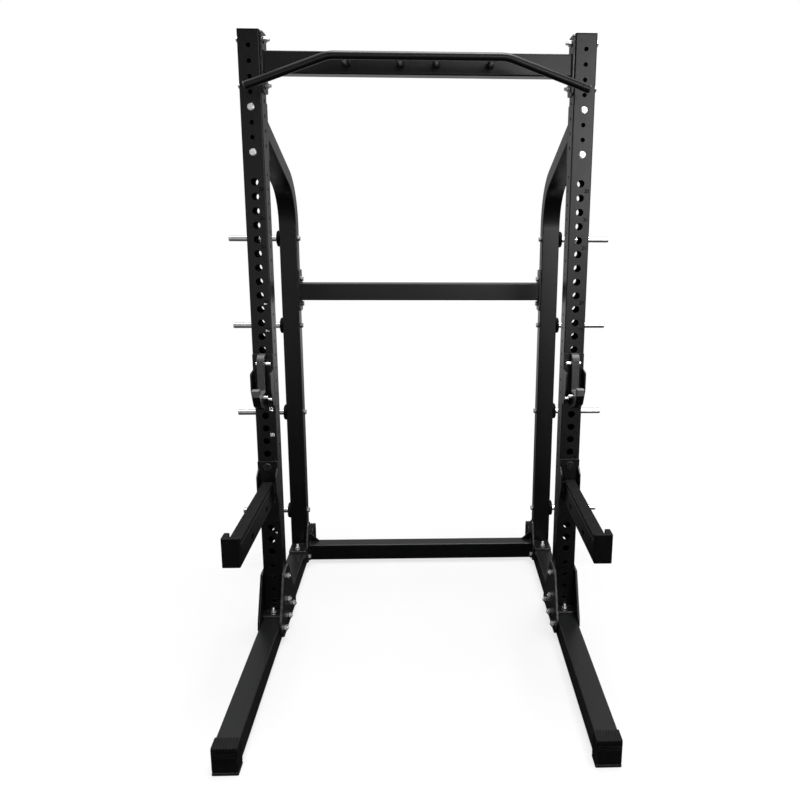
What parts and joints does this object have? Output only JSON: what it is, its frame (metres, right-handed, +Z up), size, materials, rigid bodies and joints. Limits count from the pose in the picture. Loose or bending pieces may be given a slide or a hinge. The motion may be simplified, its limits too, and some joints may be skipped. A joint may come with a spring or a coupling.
{
  "type": "half rack",
  "caption": "Free-standing half rack with drilled uprights, bent rear uprights, pull-up bar, J-cups, spotter arms and plate storage pegs.",
  "frame": {"origin": "floor, under the centre lines of the front uprights and midway between the two sides", "axes": "+Z up, +X to the right of a viewer who stands in front, +Y from the lifter towards the rear uprights"},
  "size_m": [1.67, 1.453, 2.2523],
  "materials": {
    "black_paint": "satin black powder coat",
    "zinc": "bright zinc",
    "chrome": "polished",
    "black_plastic": "matte",
    "grey_plastic": "satin",
    "sole_rubber": "matte"
  },
  "bodies": {
    "rack": {"front_upright_left": "black_paint", "upright_cap_left": "black_plastic", "foot_left": "black_paint", "foot_cap_front_left": "sole_rubber", "foot_cap_rear_left": "sole_rubber", "rear_upright_left": "black_paint", "base_gusset_inner_left": "black_paint", "base_gusset_outer_left": "black_paint", "base_bolt_front_left": "zinc", "base_bolt_rear_left": "zinc", "arm_bolt_low_left": "zinc", "arm_bolt_high_left": "zinc", "beam_bolt_low_left": "zinc", "beam_bolt_high_left": "zinc", "storage_peg_1_left": "chrome", "peg_disc_1_left": "black_plastic", "storage_peg_2_left": "chrome", "peg_disc_2_left": "black_plastic", "storage_peg_3_left": "chrome", "peg_disc_3_left": "black_plastic", "storage_peg_4_left": "chrome", "peg_disc_4_left": "black_plastic", "front_upright_right": "black_paint", "upright_cap_right": "black_plastic", "foot_right": "black_paint", "foot_cap_front_right": "sole_rubber", "foot_cap_rear_right": "sole_rubber", "rear_upright_right": "black_paint", "base_gusset_inner_right": "black_paint", "base_gusset_outer_right": "black_paint", "base_bolt_front_right": "zinc", "base_bolt_rear_right": "zinc", "arm_bolt_low_right": "zinc", "arm_bolt_high_right": "zinc", "beam_bolt_low_right": "zinc", "beam_bolt_high_right": "zinc", "storage_peg_1_right": "chrome", "peg_disc_1_right": "black_plastic", "storage_peg_2_right": "chrome", "peg_disc_2_right": "black_plastic", "storage_peg_3_right": "chrome", "peg_disc_3_right": "black_plastic", "storage_peg_4_right": "chrome", "peg_disc_4_right": "black_plastic", "top_beam": "black_paint", "mid_crossmember": "black_paint", "base_crossmember": "black_paint", "pull_up_bar": "black_paint", "bar_cap_left": "grey_plastic", "bar_cap_right": "grey_plastic"},
    "j_cup_left": {"j_cup_bracket_left": "black_paint", "j_cup_liner_left": "grey_plastic"},
    "spotter_left": {"spotter_arm_left": "black_paint", "spotter_strip_left": "black_plastic", "spotter_block_left": "black_plastic"},
    "j_cup_right": {"j_cup_bracket_right": "black_paint", "j_cup_liner_right": "grey_plastic"},
    "spotter_right": {"spotter_arm_right": "black_paint", "spotter_strip_right": "black_plastic", "spotter_block_right": "black_plastic"}
  },
  "joints": [
    {"name": "j_cup_pull_left", "type": "slide", "parent": "rack", "child": "j_cup_left", "axis": [0, -1, 0], "range_m": [0, 0.25]},
    {"name": "j_cup_pull_right", "type": "slide", "parent": "rack", "child": "j_cup_right", "axis": [0, -1, 0], "range_m": [0, 0.25]},
    {"name": "spotter_pull_left", "type": "slide", "parent": "rack", "child": "spotter_left", "axis": [0, -1, 0], "range_m": [0, 0.25]},
    {"name": "spotter_pull_right", "type": "slide", "parent": "rack", "child": "spotter_right", "axis": [0, -1, 0], "range_m": [0, 0.25]}
  ]
}
